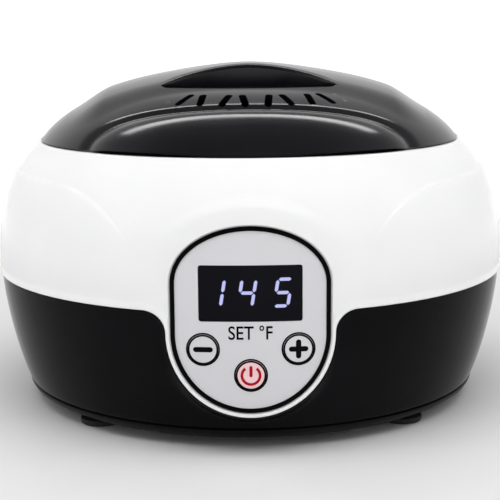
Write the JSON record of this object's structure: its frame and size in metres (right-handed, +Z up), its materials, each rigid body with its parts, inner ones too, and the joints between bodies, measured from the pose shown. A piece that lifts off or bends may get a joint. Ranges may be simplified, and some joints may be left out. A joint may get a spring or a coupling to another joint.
{
  "type": "paraffin wax bath",
  "caption": "Round tabletop wax warmer: white and black shell, front panel with display and three keys, lift-off lid with pinch grip, removable pot with bail.",
  "frame": {"origin": "on the table, under the centre of the object's bounding box", "axes": "+Z up, -Y towards the control panel at the front, +X to the user's right when facing the panel"},
  "size_m": [0.2148, 0.2118, 0.14],
  "materials": {
    "black_gloss": "gloss",
    "white_gloss": "gloss",
    "panel_grey": "satin",
    "button_grey": "satin",
    "smoked_window": "gloss",
    "moulded_black": "matt",
    "foot_rubber": "matt",
    "bare_aluminium": "satin",
    "pot_coating": "satin non-stick",
    "steel": "bright",
    "brass": "bright",
    "board": "satin",
    "mica": "matt",
    "fibre": "matt",
    "silicone": "matt",
    "wire_sleeve": "satin",
    "blue_case": "gloss"
  },
  "bodies": {
    "casing": {"lower_shell": "black_gloss", "panel_bezel": "black_gloss", "upper_shell": "white_gloss", "base_plate": "moulded_black", "display_module": "moulded_black", "tact_switch_1": "moulded_black", "tact_switch_2": "moulded_black", "tact_switch_3": "moulded_black", "transformer": "moulded_black", "filter_capacitor": "moulded_black", "power_inlet": "moulded_black", "rubber_foot_1": "foot_rubber", "rubber_foot_2": "foot_rubber", "rubber_foot_3": "foot_rubber", "rubber_foot_4": "foot_rubber", "base_screw_1": "steel", "base_screw_2": "steel", "base_screw_3": "steel", "base_screw_4": "steel", "board_screw_1": "steel", "board_screw_2": "steel", "board_screw_3": "steel", "board_screw_4": "steel", "well_screw_1": "steel", "well_screw_2": "steel", "well_screw_3": "steel", "power_board_screw_1": "steel", "power_board_screw_2": "steel", "power_board_screw_3": "steel", "power_board_screw_4": "steel", "temperature_sensor": "steel", "thermal_fuse": "steel", "mains_fuse": "steel", "panel_plate": "panel_grey", "display_window": "smoked_window", "control_board": "board", "power_board": "board", "power_led": "silicone", "well_seal_ring": "silicone", "heating_well": "bare_aluminium", "sensor_clip": "bare_aluminium", "heater_band": "mica", "insulation_sleeve": "fibre", "relay": "blue_case", "inlet_pin_1": "brass", "inlet_pin_2": "brass", "mains_lead": "wire_sleeve", "heater_lead": "wire_sleeve", "sensor_lead": "wire_sleeve", "ribbon_cable": "wire_sleeve"},
    "pot": {"wax_pot": "pot_coating"},
    "bail": {"bail_handle": "steel"},
    "lid": {"lid_shell": "black_gloss"},
    "minus_key": {"minus_button": "button_grey"},
    "plus_key": {"plus_button": "button_grey"},
    "power_key": {"power_button": "button_grey"}
  },
  "joints": [
    {"name": "pot_lift", "type": "slide", "parent": "casing", "child": "pot", "axis": [0, 0, 1], "range_m": [0, 0.11]},
    {"name": "lid_lift", "type": "slide", "parent": "pot", "child": "lid", "axis": [0, 0, 1], "range_m": [0, 0.15]},
    {"name": "bail_swing", "type": "hinge", "parent": "pot", "child": "bail", "pos_m": [0, 0, 0.1106], "axis": [-1, 0, 0], "range_deg": [0, 90]},
    {"name": "minus_press", "type": "slide", "parent": "casing", "child": "minus_key", "axis": [0, 1, 0], "range_m": [0, 0.0005], "stiffness_N_per_m": 600},
    {"name": "plus_press", "type": "slide", "parent": "casing", "child": "plus_key", "axis": [0, 1, 0], "range_m": [0, 0.0005], "stiffness_N_per_m": 600},
    {"name": "power_press", "type": "slide", "parent": "casing", "child": "power_key", "axis": [0, 1, 0], "range_m": [0, 0.0005], "stiffness_N_per_m": 600}
  ],
  "couplings": [
    {"joint": "bail_swing", "follows": "lid_lift", "rad_per_m": 10.47}
  ]
}
